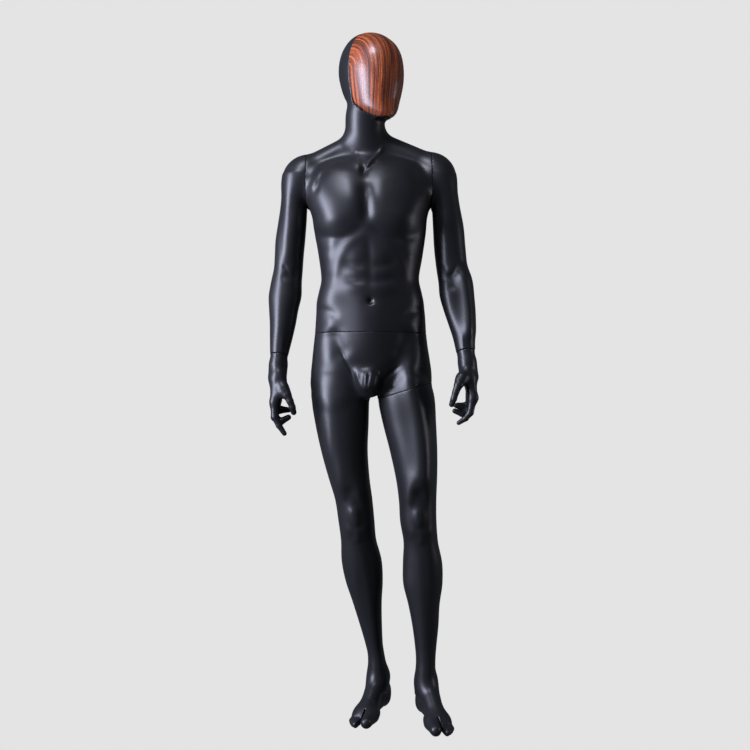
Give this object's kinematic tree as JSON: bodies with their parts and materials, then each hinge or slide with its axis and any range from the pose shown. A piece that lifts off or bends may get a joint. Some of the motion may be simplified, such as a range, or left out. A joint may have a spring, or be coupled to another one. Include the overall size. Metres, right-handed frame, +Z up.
{
  "type": "full body mannequin",
  "caption": "Standing male display mannequin with an egg head, loose wood-grain face plate, and body shells that part at waist, shoulders, wrists and thigh.",
  "frame": {"origin": "on the floor under the middle of the figure's bounding box", "axes": "+Z up, -Y the way the chest faces, +X towards the mannequin's own left"},
  "size_m": [0.5585, 0.3048, 1.857],
  "materials": {
    "shell": "satin black paint on glass fibre",
    "face": "high-gloss lacquer over a streaked wood grain",
    "disc": "matte black paint",
    "fitting": "turned and zinc plated",
    "magnet": "nickel plated"
  },
  "bodies": {
    "pelvis": {"pelvis_right_leg_shell": "shell", "pelvis_waist_disc": "disc", "waist_socket_plate": "fitting", "pelvis_waist_screw_1": "fitting", "pelvis_waist_screw_2": "fitting", "pelvis_waist_screw_3": "fitting", "pelvis_thigh_disc": "disc", "thigh_socket_plate": "fitting", "pelvis_thigh_screw_1": "fitting", "pelvis_thigh_screw_2": "fitting", "pelvis_thigh_screw_3": "fitting"},
    "torso": {"upper_torso_shell": "shell", "torso_waist_disc": "disc", "waist_peg_plate": "fitting", "torso_waist_screw_1": "fitting", "torso_waist_screw_2": "fitting", "torso_waist_screw_3": "fitting", "torso_right_shoulder_disc": "disc", "right_shoulder_socket_plate": "fitting", "torso_right_shoulder_screw_1": "fitting", "torso_right_shoulder_screw_2": "fitting", "torso_left_shoulder_disc": "disc", "left_shoulder_socket_plate": "fitting", "torso_left_shoulder_screw_1": "fitting", "torso_left_shoulder_screw_2": "fitting", "head_magnet_upper": "magnet", "head_magnet_lower": "magnet"},
    "face": {"face_plate": "face", "face_magnet_upper": "magnet", "face_magnet_lower": "magnet"},
    "left_leg": {"left_leg_shell": "shell", "left_leg_disc": "disc", "thigh_peg_plate": "fitting", "left_leg_screw_1": "fitting", "left_leg_screw_2": "fitting", "left_leg_screw_3": "fitting"},
    "right_arm": {"right_arm_shell": "shell", "right_arm_disc": "disc", "right_shoulder_peg_plate": "fitting", "right_arm_screw_1": "fitting", "right_arm_screw_2": "fitting", "right_wrist_disc": "disc", "right_wrist_socket": "fitting"},
    "left_arm": {"left_arm_shell": "shell", "left_arm_disc": "disc", "left_shoulder_peg_plate": "fitting", "left_arm_screw_1": "fitting", "left_arm_screw_2": "fitting", "left_wrist_disc": "disc", "left_wrist_socket": "fitting"},
    "right_hand": {"right_hand": "shell", "right_wrist_peg": "fitting"},
    "left_hand": {"left_hand": "shell", "left_wrist_peg": "fitting"}
  },
  "joints": [
    {"name": "waist_twist", "type": "hinge", "parent": "pelvis", "child": "torso", "pos_m": [-0.004, 0.023, 1.041], "axis": [0, 0, 1], "range_deg": [0, 20]},
    {"name": "left_leg_pull", "type": "slide", "parent": "pelvis", "child": "left_leg", "axis": [0.284, 0, -0.9588], "range_m": [0, 0.05]},
    {"name": "right_shoulder_turn", "type": "hinge", "parent": "torso", "child": "right_arm", "pos_m": [-0.178, 0.029, 1.452], "axis": [-1, 0, 0], "range_deg": [-30, 95]},
    {"name": "left_shoulder_turn", "type": "hinge", "parent": "torso", "child": "left_arm", "pos_m": [0.1615, 0.029, 1.452], "axis": [-1, 0, 0], "range_deg": [-30, 95]},
    {"name": "right_wrist_turn", "type": "hinge", "parent": "right_arm", "child": "right_hand", "pos_m": [-0.251, -0.019, 0.981], "axis": [0.1039, 0.2059, 0.973], "range_deg": [-90, 90]},
    {"name": "left_wrist_turn", "type": "hinge", "parent": "left_arm", "child": "left_hand", "pos_m": [0.2525, -0.017, 0.992], "axis": [-0.1483, 0.2091, 0.9666], "range_deg": [-90, 90]},
    {"name": "face_plate_pull", "type": "slide", "parent": "torso", "child": "face", "axis": [0.5736, -0.8192, 0], "range_m": [0, 0.06]}
  ]
}
